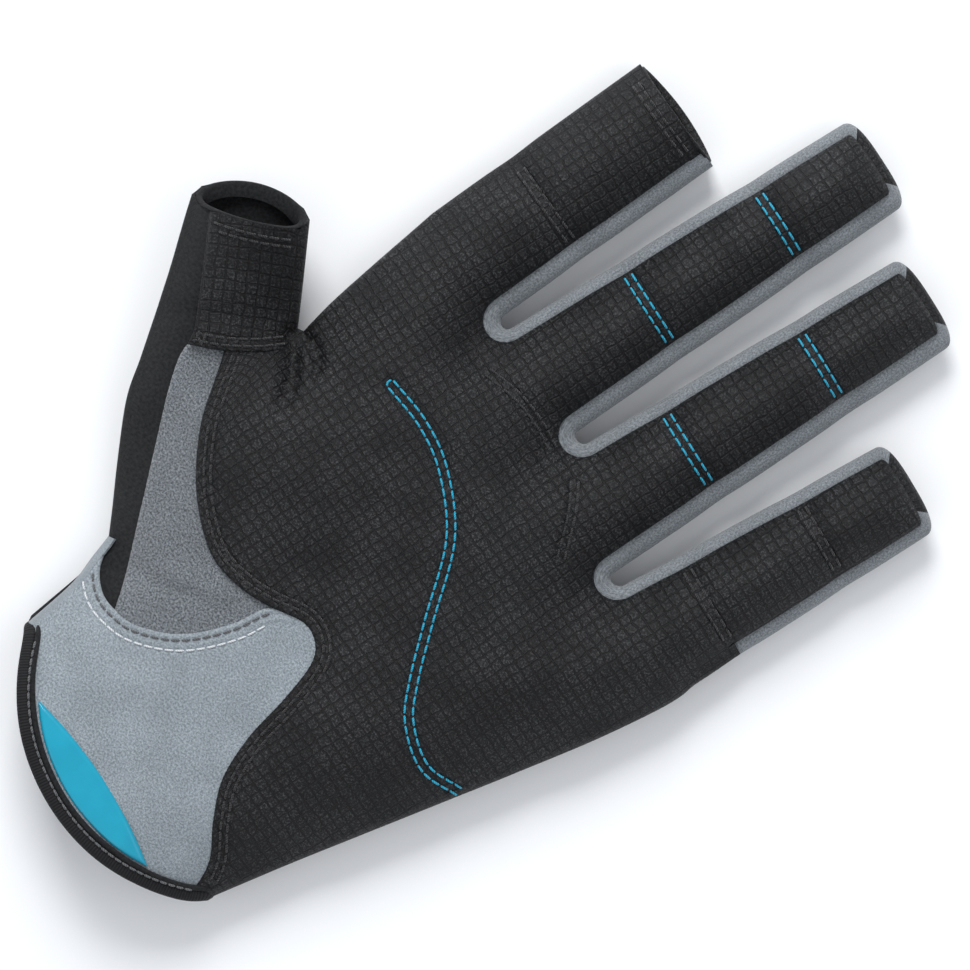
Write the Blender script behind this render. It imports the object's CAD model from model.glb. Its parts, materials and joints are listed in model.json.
"""Looks of a left-hand sailing glove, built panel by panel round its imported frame.

Plan positions are millimetres in the row frame: +X to the little finger, +Y to the fingertips,
+Z up out of the palm. Metres are used only where a mesh is made.
"""

import json
import math

import bpy
import numpy as np
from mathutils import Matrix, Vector
from mathutils.geometry import delaunay_2d_cdt


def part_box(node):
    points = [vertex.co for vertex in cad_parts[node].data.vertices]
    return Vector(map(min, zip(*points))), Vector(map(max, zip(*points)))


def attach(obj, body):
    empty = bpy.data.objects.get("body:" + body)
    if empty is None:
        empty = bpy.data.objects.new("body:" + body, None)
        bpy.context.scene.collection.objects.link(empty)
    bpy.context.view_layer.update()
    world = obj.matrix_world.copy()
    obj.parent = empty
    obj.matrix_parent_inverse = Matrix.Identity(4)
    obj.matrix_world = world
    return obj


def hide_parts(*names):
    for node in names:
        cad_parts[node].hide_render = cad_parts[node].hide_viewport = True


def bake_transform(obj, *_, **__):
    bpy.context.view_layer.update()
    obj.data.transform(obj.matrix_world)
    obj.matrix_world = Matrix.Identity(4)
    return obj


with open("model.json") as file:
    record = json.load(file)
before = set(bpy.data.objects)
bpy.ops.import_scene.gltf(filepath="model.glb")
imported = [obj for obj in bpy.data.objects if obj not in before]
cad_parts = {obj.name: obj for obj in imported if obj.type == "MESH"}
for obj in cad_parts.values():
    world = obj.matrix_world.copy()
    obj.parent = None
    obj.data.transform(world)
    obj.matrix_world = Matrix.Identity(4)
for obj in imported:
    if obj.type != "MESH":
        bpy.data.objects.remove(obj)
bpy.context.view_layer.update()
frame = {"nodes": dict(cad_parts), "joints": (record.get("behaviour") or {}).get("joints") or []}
MM = 0.001
JOINTS = {j["name"]: j for j in frame["joints"]}

# ---- Sizes, in millimetres ----
BASE_HINGE = 5.0        # from a finger's base to its base hinge
FIRST_CUT = 1.7         # where a finger's own pieces start
TIP_ROUND = 3.6         # length over which a closed fingertip rounds off
TIP_TURN = 2.2          # how far the tip fabric turns under beyond the palm's edge
CLOTH = 0.6             # thickness of a fabric panel
ROLL = 0.9              # radius of a turned edge
STEP = 1.6              # spacing of a panel's points
STRIP_LEFT = 2.6        # width that a finger's left side strip shows from above
STRIP_RIGHT = 3.7       # and its right one
PLAIN_EDGE = 1.6        # the same where the palm fabric itself turns round the side
BACK_INSET = 1.6        # from the outline in to the back panel's edge
CUFF_R = 46.0           # radius of the curved cuff
CUFF_MID = np.array((18.0, -86.0))      # its centre
CUFF_FROM, CUFF_TO = -137, -45.5        # its ends, in degrees
THREAD_R = 0.24         # radius of the sewing thread
STITCH = 2.15           # length of one stitch
PALM_LIFT, HEEL_LIFT, GUSSET_LIFT, KNIT_LIFT = 1.0, 0.35, -0.3, -0.95    # layers over the palm's height
EDGE_Z = 9.0            # height of a finger's palm edge over the table
CROWN_DEEP, CROWN_HIGH = 11.0, 5.6      # width and height of a finger's crown
HAND_DEEP, HAND_HIGH = 13.0, 3.2        # what the hand adds to them
BACK_Z, BACK_SAG, BACK_DEEP = 3.4, 3.1, 7.0     # the back's height at its edge, and its sag over a width
CREASE_HALF, CREASE_DEPTH = 1.9, 0.55   # the fold along the palm's teal stitching
ROW_HALF, ROW_DEPTH = 0.55, 0.22        # groove that a row of stitches pulls into the fabric
SWEEP_STEP, SWEEP_SMOOTHING = 0.8, 22   # point spacing and smoothing passes of a binding or hem
WALL_LIFT = -0.3        # side strips that tuck under the palm's edge
FOLD_CUT = 0.9          # how far beyond the thumb's fold line the hand's pieces end
INDEX_BOW = (-0.6, 1.3)     # how far the index finger's mouth bows on its palm side and its back
THUMB_BOW = (-1.4, 3.0)     # the same at the thumb
KNIT_U = -18.8          # where the thumb's knit begins, across it
BACK_STEP = 2.2         # spacing of points on the plain back
WRIST_Y = -95           # where the back of the wrist begins
UV_UNIT = 100           # millimetres in one unit of UV
WEB = np.array((-36.0, -36.0))      # bottom of the web between the thumb and the index finger
HEEL = np.array((-21.0, -97.0))     # wrist end of the thumb's fold line
STRAP_FOLD = -20.3      # x of the strap's hinge
STRAP_TOP = -99.1       # y of its upper edge

# ---- Where a piece rides; a finger's are (its name, number of the joint) ----
HAND, STRAP, THUMB_ROOT, THUMB_TIP = ("hand",), ("strap",), ("thumb", 0), ("thumb", 1)

# ---- Seams and stitch lines on the palm, as the points of smooth curves ----
PALM_SEAM = [(-42, -49.3), (-37, -55.8), (-31.3, -62.8), (-22.7, -69.7), (-14.6, -73.8), (-6.6, -75.8),
             (1.5, -74.4), (7.8, -71.6), (14.2, -67.8), (18.8, -68), (22.2, -71.2), (25.1, -79.8),
             (27.6, -90.2), (31.8, -99.5), (38, -106), (44.5, -111.5), (48.2, -118.6)]
HEEL_EDGE = [(11.5, -67), (7.5, -72.3), (6.4, -79.5), (3.7, -87.2), (0.3, -92.4), (-4.7, -96.9),
             (-8.8, -98.6), (-13.4, -99.2), (-18, -97.4), (-21, -94)]
GUSSET_EDGE = [(-47.2, -54.4), (-45.8, -58.4), (-41.8, -63.8), (-36.2, -70), (-27.6, -79.2), (-16.9, -90.6),
               (-12.1, -95.8), (-6.5, -103)]
S_LINE = [(-16.5, -25.5), (-6, -24.6), (4.2, -26.4), (16.8, -33), (28.3, -46), (37, -55.6),
          (43.5, -61), (53, -63.6), (61.6, -60.5)]
ULNAR = [(70.6, -9), (70.4, -16), (68.3, -31), (64.6, -50), (59.8, -73), (54.6, -98), (51.0, -117)]
RADIAL = [(-41.4, 1.7), (-40.9, -5), (-39.6, -15), (-38, -26), (-36.2, -34.6)]
THUMB_SIDE = [(-44.8, -73), (-35, -82), (-27.5, -88.3), (-23.2, -92)]
WRIST_SIDE = [(-23.2, -92), (-21.4, -97.5), (-19.2, -104), (-17.4, -117)]


# ---- Small geometry ----

def unit(v):
    return v / np.maximum(np.linalg.norm(v, axis=-1, keepdims=True), 1e-9)


def smooth(t):
    t = np.clip(t, 0, 1)
    return t * t * (3 - 2 * t)


def closed(line):
    return np.vstack([line, line[:1]])


def run_of(line):
    """The length run along a line at each of its points."""
    return np.r_[0, np.cumsum(np.linalg.norm(np.diff(line, axis=0), axis=1))]


def resample(points, step=STEP, count=None):
    """The same line with evenly spaced points."""
    points = np.asarray(points, float)
    run = run_of(points)
    n = count or max(2, int(round(run[-1] / step)) + 1)
    at = np.linspace(0, run[-1], n)
    return np.stack([np.interp(at, run, points[:, k]) for k in range(points.shape[1])], 1)


def curve(points, step=STEP):
    """A smooth line through the points (Catmull-Rom), evenly resampled."""
    p = np.asarray(points, float)
    ends = np.vstack([2 * p[0] - p[1], p, 2 * p[-1] - p[-2]])
    t = np.linspace(0, 1, 16, endpoint=False)[:, None]
    spans = []
    for a, b, c, d in zip(ends, ends[1:], ends[2:], ends[3:]):
        spans.append(0.5 * (2 * b + (c - a) * t + (2 * a - 5 * b + 4 * c - d) * t ** 2
                            + (3 * b - a - 3 * c + d) * t ** 3))
    return resample(np.vstack(spans + [p[-1:]]), step)


def shifted(line, distance):
    """The line moved to its left."""
    t = unit(np.gradient(line, axis=0))
    return line + distance * np.stack([-t[:, 1], t[:, 0]], 1)


def arc(centre, radius, start, end, count):
    a = np.radians(np.linspace(start, end, count))
    return centre + radius * np.stack([np.cos(a), np.sin(a)], 1)


def line_distance(p, line, signed=False):
    """Distance from points to an open line, positive on its left if signed."""
    best = np.full(len(p), 1e9)
    side = np.ones(len(p))
    for a, b in zip(line, line[1:]):
        d, r = b - a, p - a
        t = np.clip(r @ d / max(d @ d, 1e-12), 0, 1)
        gap = np.hypot(r[:, 0] - t * d[0], r[:, 1] - t * d[1])
        near = gap < best - 1e-9
        best[near] = gap[near]
        if signed:
            side[near] = np.where(d[0] * r[near, 1] - d[1] * r[near, 0] >= 0, 1, -1)
    return best * side


def is_inside(p, loop):
    found = np.zeros(len(p), bool)
    for a, b in zip(loop, np.roll(loop, -1, axis=0)):
        crosses = (a[1] > p[:, 1]) != (b[1] > p[:, 1])
        if crosses.any():
            x = (b[0] - a[0]) * (p[:, 1] - a[1]) / (b[1] - a[1] + 1e-12) + a[0]
            found ^= crosses & (p[:, 0] < x)
    return found


def outline_distance(p, loop):
    gap = line_distance(p, closed(loop))
    return np.where(is_inside(p, loop), gap, -gap)


# ---- The fingers, read from the frame ----

def node_plan(name):
    co = np.array([v.co for v in frame["nodes"][name].data.vertices], float)
    return co[:, :2] / MM


class Finger:
    def __init__(self, name):
        chain = [JOINTS[name + end] for end in ("_base", "_flex", "_tip_flex") if name + end in JOINTS]
        self.name = name
        self.across = np.array(chain[0]["axis"][:2])
        self.along = np.array((-self.across[1], self.across[0]))
        self.base = np.array(chain[0]["pos_m"][:2]) / MM - BASE_HINGE * self.along
        self.hinges = [float((np.array(j["pos_m"][:2]) / MM - self.base) @ self.along) for j in chain]
        self.bodies = ["hand"] + [j["child"] for j in chain]
        self.open = name + "_tip" not in frame["nodes"]
        far = node_plan(self.bodies[-1] + "_palm") - self.base
        near = node_plan(self.bodies[1] + "_palm") - self.base
        self.length = float((far @ self.along).max())
        end = far[far @ self.along > self.length - 8]
        self.half = [float(np.abs(q @ self.across).max()) for q in (near, end)]
        self.zones = [(FIRST_CUT, self.hinges[0] + 5)]
        for h in self.hinges[1:]:
            reach = min(8.5, h - self.zones[-1][1] - 0.5)
            self.zones.append((h - reach, h + reach))
        self.cuts = [FIRST_CUT] + [(a[1] + b[0]) / 2 for a, b in zip(self.zones, self.zones[1:])]

    def at(self, x, y):
        x, y = np.broadcast_arrays(np.asarray(x, float), np.asarray(y, float))
        return self.base + x[..., None] * self.across + y[..., None] * self.along

    def width(self, y):
        """Half width, drawn in a little at each flex line."""
        share = np.clip(y / self.length, -0.2, 1)
        pinch = sum(0.2 * np.exp(-((y - h) / 5.0) ** 2) for h in self.hinges[1:])
        return self.half[0] + (self.half[1] - self.half[0]) * share + 0.25 - pinch

    def side(self, sign, y, inset):
        return self.at(sign * (self.width(y) - inset), y)

    def tip(self, left_inset, right_inset, end_inset, count=25):
        """The rounded end, from the right side to the left."""
        a = np.linspace(0, math.pi, count)
        c, s = np.cos(a), np.sin(a)
        inset = right_inset + (left_inset - right_inset) * (1 - c) / 2
        start = self.length - TIP_ROUND
        x = (self.width(start) - inset) * np.sign(c) * np.abs(c) ** (2 / 3.0)
        return self.at(x, start + (TIP_ROUND - end_inset) * s ** (2 / 3.0))


FINGERS = {n: Finger(n) for n in ("index", "middle", "ring", "little")}
INDEX, MIDDLE, RING, LITTLE = FINGERS.values()
MOUTH_LEAN = 1.0        # how far the index finger's back wall stands beyond its palm wall

# ---- The thumb's frame: u across it, v along it, from the web ----
THUMB_ACROSS = np.array(JOINTS["thumb_flex"]["axis"][:2])
THUMB_ALONG = np.array((-THUMB_ACROSS[1], THUMB_ACROSS[0]))
FOLD_ALONG = unit(HEEL - WEB)
FOLD_OUT = np.array((FOLD_ALONG[1], -FOLD_ALONG[0]))
THUMB_RISE = math.tan(math.radians(17))
THUMB_W = 30.0
THUMB_MOUTH_W = 24.4


def thumb_at(u, v):
    u, v = np.broadcast_arrays(np.asarray(u, float), np.asarray(v, float))
    return WEB + u[..., None] * THUMB_ACROSS + v[..., None] * THUMB_ALONG


def thumb_uv(p):
    return (p - WEB) @ THUMB_ACROSS, (p - WEB) @ THUMB_ALONG


def fold_side(p):
    """Distance beyond the thumb's fold line, towards the thumb."""
    return (p - WEB) @ FOLD_OUT


# ---- Outline: three matching lines round the whole glove ----
# "edge" is where the palm panel ends, "rim" the widest line, "under" where the back panel ends.

def steps_between(a, b):
    return np.linspace(a, b, max(2, int(round(abs(b - a) / STEP)) + 1))


def finger_side(f, sign, y0, y1, inset):
    y = steps_between(y0, y1)
    lean = MOUTH_LEAN * smooth((y - f.length + 12) / 12) if f.open else 0
    return {"edge": f.side(sign, y, inset), "rim": f.at(sign * f.width(y), y + lean * 0.5),
            "under": f.at(sign * (f.width(y) - BACK_INSET), y + lean)}


def crotch(left, right):
    """The turn round the bottom of a slit, from the finger on its right to the one on its left."""
    y_left = RING_LOW if left is RING else FIRST_CUT
    made = {}
    for key, a, b, deep in (("edge", STRIP_LEFT, STRIP_RIGHT, 5.0), ("rim", 0, 0, 1.6),
                            ("under", BACK_INSET, BACK_INSET, 3.2)):
        p = right.side(-1, np.array([FIRST_CUT]), a)[0]
        q = left.side(1, np.array([y_left]), b)[0]
        t = np.linspace(0, math.pi, 13)[:, None]
        mid = (p + q) / 2
        made[key] = mid + np.cos(t) * (p - mid) + np.sin(t) * np.array((0, -deep))
    return made


def plain_side(points):
    rim = curve(points)
    return {"edge": shifted(rim, PLAIN_EDGE), "rim": rim, "under": shifted(rim, BACK_INSET)}


def thumb_side(sign, v0, v1):
    v = steps_between(v0, v1)
    share = np.clip(v / 27, -0.4, 1)
    half_loss = (THUMB_W - THUMB_MOUTH_W) * share
    slant = smooth((v - 8) / 14)
    if sign > 0:
        u, v_edge, lean = np.full_like(v, -0.3), v - 2.6 * slant, 4.6
    else:
        u, v_edge, lean = -THUMB_W + half_loss, v, 3.8
    return {"edge": thumb_at(u - sign * PLAIN_EDGE, v_edge), "rim": thumb_at(u, v_edge + lean * 0.5 * slant),
            "under": thumb_at(u - sign * BACK_INSET, v_edge + lean * slant)}


def turn(a, b, middles):
    """A smooth corner from the end of one stretch to the start of the next."""
    return {k: resample(curve([a[k][-1], *middles[k], b[k][0]]), count=7) for k in a}


GREY_FROM = 15.0        # where the little finger's outer grey strip starts
RING_LOW = -8.6         # the ring finger's outer side reaches down to the lower crotch
THUMB_CUT = 7.0         # on the web side, where the thumb stall's own pieces start
THUMB_CUT_LEFT = -9.0   # and on its outer side
THUMB_LEN = 24.0        # from the web to the mouth


def build_outline():
    """Stretches (name, style, body step, lines), anticlockwise from the cuff's ulnar corner.

    A style of "strip" is a grey side strip, "plain" is panel fabric turned round the side.
    """
    runs = [[]]

    def add(*part):
        runs[-1].append(part)

    add("ulnar", "plain", HAND, plain_side(ULNAR[::-1]))
    for f in (LITTLE, RING, MIDDLE, INDEX):
        marks = f.cuts + [f.length if f.open else f.length - TIP_ROUND]
        right_inset = STRIP_RIGHT - (f is LITTLE)
        if f is RING:
            add("ring_low", "strip", HAND, finger_side(f, 1, RING_LOW, FIRST_CUT, STRIP_RIGHT))
        for k, (y0, y1) in enumerate(zip(marks, marks[1:])):
            grey = min(y1, GREY_FROM) if f is LITTLE and y0 < GREY_FROM else y0
            for style, a, b in (("plain", y0, grey), ("strip", grey, y1)):
                if b > a:
                    add(f"{f.name}_right", style, (f.name, k), finger_side(f, 1, a, b, right_inset))
        if f.open:
            runs.append([])
        else:
            tip = {"edge": f.tip(STRIP_LEFT, right_inset, TIP_TURN), "rim": f.tip(0, 0, 0),
                   "under": f.tip(BACK_INSET, BACK_INSET, 1.8)}
            for label, style, a, b in (("right", "strip", 0, 8), ("end", "plain", 8, 18), ("left", "strip", 18, 25)):
                add(f"{f.name}_{label}", style, (f.name, len(f.cuts) - 1),
                    {k: line[a:b + 1].copy() for k, line in tip.items()})
        style, inset = ("plain", PLAIN_EDGE) if f.open else ("strip", STRIP_LEFT)
        for k in range(len(f.cuts) - 1, -1, -1):
            add(f"{f.name}_left", style, (f.name, k), finger_side(f, -1, marks[k + 1], marks[k], inset))
        if f is not INDEX:
            left = {LITTLE: RING, RING: MIDDLE, MIDDLE: INDEX}[f]
            add(f"crotch_{left.name}_{f.name}", "strip", HAND, crotch(left, f))
    radial = plain_side([INDEX.side(-1, np.array([FIRST_CUT]), 0)[0], *RADIAL[1:]])
    add("radial", "plain", HAND, radial)
    right = thumb_side(1, 1.5, THUMB_CUT)
    add("web", "plain", THUMB_ROOT, turn(radial, right, {
        "edge": [(-35.6, -37.2)], "rim": [(-36.4, -35.5)], "under": [(-35.2, -37.6)]}))
    add("thumb_right", "plain", THUMB_ROOT, right)
    add("thumb_right", "plain", THUMB_TIP, thumb_side(1, THUMB_CUT, THUMB_LEN))
    runs.append([])
    left = thumb_side(-1, THUMB_LEN, THUMB_CUT_LEFT)
    add("thumb_left", "plain", THUMB_TIP, left)
    add("thumb_left", "plain", THUMB_ROOT, plain_side([left["rim"][-1], *THUMB_SIDE]))
    add("wrist_side", "plain", HAND, plain_side(WRIST_SIDE))
    for run in runs:                       # neighbours share their end points exactly
        for a, b in zip(run, run[1:]):
            for key in ("edge", "rim", "under"):
                b[3][key][0] = a[3][key][-1] = (b[3][key][0] + a[3][key][-1]) / 2
    return runs


OUTLINE = build_outline()


def stretch(name, key, step=None):
    """The points of the named stretches, in order."""
    found = [lines[key] for run in OUTLINE for n, _, s, lines in run
             if n == name and (step is None or s == step)]
    return np.vstack([found[0]] + [x[1:] for x in found[1:]])


def cut_line(f, k, key="edge"):
    """The line across a finger where two of its pieces meet, from left to right."""
    left = stretch(f.name + "_left", key, (f.name, k))[-1]
    right = stretch(f.name + "_right", key, (f.name, k))[0]
    return resample([left, right], count=16)


def chain(*lines):
    """Lines joined end to end, without repeated points."""
    joined = [np.asarray(lines[0], float)]
    for line in lines[1:]:
        line = np.asarray(line, float)
        if np.linalg.norm(line[0] - joined[-1][-1]) < 1e-3:
            line = line[1:]
        joined.append(line)
    points = np.vstack(joined)
    if np.linalg.norm(points[0] - points[-1]) < 1e-3:
        points = points[:-1]
    return points


def whole_loop(key):
    """One closed line round the glove, run on past its open mouths so that the surfaces stay level there."""
    run1, run2, run3 = [np.vstack([lines[key] for _, _, _, lines in run]) for run in OUTLINE]
    far = 25 * INDEX.along
    thumb = 25 * THUMB_ALONG
    return np.vstack([run1, [run1[-1] + far, run2[0] + far], run2, [run2[-1] + thumb, run3[0] + thumb],
                      run3, [run3[-1] + (0, -70), run1[0] + (0, -70)]])


# ---- Height of the palm side and of the back, over the plan ----

class Field:
    """Heights on a grid over the plan, read by cubic interpolation."""
    CELL = 0.75
    LOW = np.array((-98.0, -150.0))
    SHAPE = (268, 340)      # columns, rows

    @classmethod
    def points(cls):
        x, y = np.meshgrid(*[cls.LOW[k] + cls.CELL * np.arange(cls.SHAPE[k]) for k in (0, 1)])
        return np.stack([x.ravel(), y.ravel()], 1)

    def __init__(self, values, blur=0.0):
        self.z = values.reshape(self.SHAPE[1], self.SHAPE[0])
        if blur:
            k = np.exp(-0.5 * (np.arange(-8, 9) * self.CELL / blur) ** 2)
            k /= k.sum()
            for axis in (0, 1):
                padded = np.pad(self.z, [(8, 8) if a == axis else (0, 0) for a in (0, 1)], mode="edge")
                n = self.z.shape[axis]
                self.z = sum(w * np.take(padded, np.arange(i, i + n), axis=axis) for i, w in enumerate(k))

    def __call__(self, p):
        f = (p - self.LOW) / self.CELL
        i = np.clip(np.floor(f).astype(int), 1, np.array(self.SHAPE) - 3)
        t = f - i
        w = [self.weights(t[:, k]) for k in (0, 1)]
        return sum(w[0][a] * w[1][b] * self.z[i[:, 1] + b - 1, i[:, 0] + a - 1]
                   for a in range(4) for b in range(4))

    @staticmethod
    def weights(t):
        return (-0.5 * t + t * t - 0.5 * t ** 3, 1 - 2.5 * t * t + 1.5 * t ** 3,
                0.5 * t + 2 * t * t - 1.5 * t ** 3, -0.5 * t * t + 0.5 * t ** 3)


def crown(share):
    """A pillow's profile: 0 at its edge, 1 at its middle, and straight on outside."""
    inside = np.clip(share, 0, 1)
    return np.where(share > 0, 1 - (1 - inside) ** 2.2, 2.2 * share)


def wave(p, length, angle, phase):
    a = math.radians(angle)
    return np.sin((p[:, 0] * math.cos(a) + p[:, 1] * math.sin(a)) * 2 * math.pi / length + phase)


def zones(p):
    """How much a point belongs to the hand and to the thumb."""
    base_y = -10.5 * smooth((p[:, 0] - 38) / 8)
    return smooth((base_y + 2 - p[:, 1]) / 26), smooth(fold_side(p) / 15)


def thumb_lift(p):
    v = thumb_uv(p)[1]
    ramp = 0.5 * (v + np.sqrt(v * v + 30)) * THUMB_RISE
    return zones(p)[1] * (4.2 * smooth(fold_side(p) / 24) + ramp)


# Mounds and hollows of the palm: x, y, radius, height.
MOUNDS = [(-16, -54, 15, 1.7), (42, -76, 18, 0.9), (13, -60, 15, -1.3), (-28, -15, 9, 0.7), (0, -15, 9, 0.7),
          (28, -18, 9, 0.6), (56, -28, 10, 0.7), (-14, -11, 5, -0.8), (14, -13, 5, -0.7), (42, -24, 5, -0.7),
          (-17, -94.5, 4, -1.6)]
# Folds: points, half width, depth.
FOLDS = [([(-38, -35.6), (-33, -34.6), (-29, -35.4), (-26.4, -38.4)], 0.8, 3.6),
         ([(-38.5, -36.5), (-34, -38.5), (-29, -42), (-25, -46.5)], 1.7, 3.4),
         ([(-34, -36.8), (-30.5, -38)], 1.6, -1.0),
         ([(-16.5, -92), (-8, -87.5), (-0.5, -81)], 2.0, 1.3),
         ([(-12, -88), (-4, -82.5), (2, -77)], 1.8, -0.9),
         ([(-8, -7), (0, -4.6), (13.4, -4.0)], 1.2, 0.5), ([(20.8, -4.8), (27, -10), (33, -16.6)], 1.2, 0.5),
         ([(-18, -5.5), (-13, -8), (-8, -7)], 1.5, 0.6), ([(10, -6), (15, -8.5), (20, -8)], 1.5, 0.6),
         ([(39, -16), (44, -19), (49, -18)], 1.5, 0.6)]


def fold_depth(p, points, half, depth):
    line = curve(points, 1.0)
    gap = line_distance(p, line)
    run = np.clip((p - line[0]) @ (line[-1] - line[0]) / np.sum((line[-1] - line[0]) ** 2), 0, 1)
    return depth * np.exp(-(gap / half) ** 2) * np.sqrt(np.clip(4.2 * run * (1.02 - run), 0, 1))


def palm_field():
    p = Field.points()
    hand, thumb = zones(p)
    gap = outline_distance(p, whole_loop("edge"))
    deep = CROWN_DEEP + HAND_DEEP * hand * (1 - thumb) + 1.5 * thumb
    high = CROWN_HIGH + HAND_HIGH * hand * (1 - thumb) + 1.4 * thumb
    z = EDGE_Z + 0.6 * hand - 1.0 * thumb + high * crown(gap / deep) + thumb_lift(p)
    z = Field(z, 1.5).z.ravel()
    for x, y, radius, height in MOUNDS:
        z += height * np.exp(-((p[:, 0] - x) ** 2 + (p[:, 1] - y) ** 2) / radius ** 2)
    for points, half, depth in FOLDS:
        z -= fold_depth(p, points, half, depth)
    z -= CREASE_DEPTH * np.exp(-(line_distance(p, curve(S_LINE, 1.5)) / CREASE_HALF) ** 2)
    for f in FINGERS.values():
        x, y = (p - f.base) @ f.across, (p - f.base) @ f.along
        for h in f.hinges[1:]:
            near = np.exp(-((y - h) / 2.0) ** 2) - 0.35 * np.exp(-((np.abs(y - h) - 6) / 3.5) ** 2)
            z -= 0.8 * near * (np.abs(x) < 16)
    z -= 0.5 * np.exp(-((thumb_uv(p)[1] - 1.5) / 1.8) ** 2) * thumb
    z += 0.16 * wave(p, 27, 20, 0.4) + 0.12 * wave(p, 17, 75, 2.0) + 0.10 * wave(p, 12, -40, 1.1)
    return Field(z, 0.55)


def back_field():
    p = Field.points()
    gap = outline_distance(p, whole_loop("under"))
    z = BACK_Z - BACK_SAG * crown(gap / BACK_DEEP) + thumb_lift(p) * 0.92
    wrist = smooth((-84 - p[:, 1]) / 8)
    z += wrist * 2.9 * crown(np.clip(gap, 0, None) / BACK_DEEP)
    z += 0.08 * wave(p, 21, 35, 0.7) * (z > 0.5)
    return Field(np.maximum(z, 0.25), 0.8)


PALM = palm_field()
BACK = back_field()


class Surface:
    """A fabric's outer height over the plan: a field, lifted, rolled down along its turned edges."""

    def __init__(self, field, sign, lift, rolls=(), rows=()):
        self.field, self.sign, self.lift = field, sign, lift
        self.rolls, self.rows = rolls, rows

    @staticmethod
    def near(p, line):
        low, high = p.min(0) - 4, p.max(0) + 4
        kept = np.flatnonzero(((line > low) & (line < high)).all(1))
        return line[max(kept[0] - 1, 0):kept[-1] + 2] if len(kept) > 1 else None

    def height(self, p):
        h = self.lift(p) if callable(self.lift) else np.full(len(p), float(self.lift))
        down = np.zeros(len(p))
        for line in self.rolls:
            line = self.near(p, line)
            if line is not None:
                gap = line_distance(p, line, signed=True)
                gap = np.where(gap < -0.6, ROLL, np.clip(gap, 0, ROLL))
                down = np.maximum(down, ROLL - np.sqrt(ROLL ** 2 - (ROLL - gap) ** 2))
        for line in self.rows:
            line = self.near(p, line)
            if line is not None:
                down += ROW_DEPTH * np.exp(-(line_distance(p, line) / ROW_HALF) ** 2)
        return h - down

    def __call__(self, p):
        return self.field(p) + self.sign * self.height(p)

    def normal(self, p):
        e = 0.12
        dx, dy = [(self(p + np.array(d)) - self(p - np.array(d))) / (2 * e) for d in ((e, 0), (0, e))]
        return self.sign * unit(np.stack([-dx, -dy, np.ones(len(p))], 1))


# ---- Meshes ----

def cloth_object(name, co, faces, normals, uv, material):
    """A mesh with its own corner normals. co in mm; faces index co; normals and uv are per corner."""
    mesh = bpy.data.meshes.new(name)
    mesh.from_pydata((np.asarray(co) * MM).tolist(), [], faces)
    mesh.polygons.foreach_set("use_smooth", [True] * len(mesh.polygons))
    layer = mesh.uv_layers.new(name="UVMap")
    layer.data.foreach_set("uv", (np.asarray(uv) / UV_UNIT).ravel())
    mesh.normals_split_custom_set(unit(np.asarray(normals)).tolist())
    mesh.materials.append(material[0])
    obj = bpy.data.objects.new(name, mesh)
    bpy.context.scene.collection.objects.link(obj)
    return obj


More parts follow.
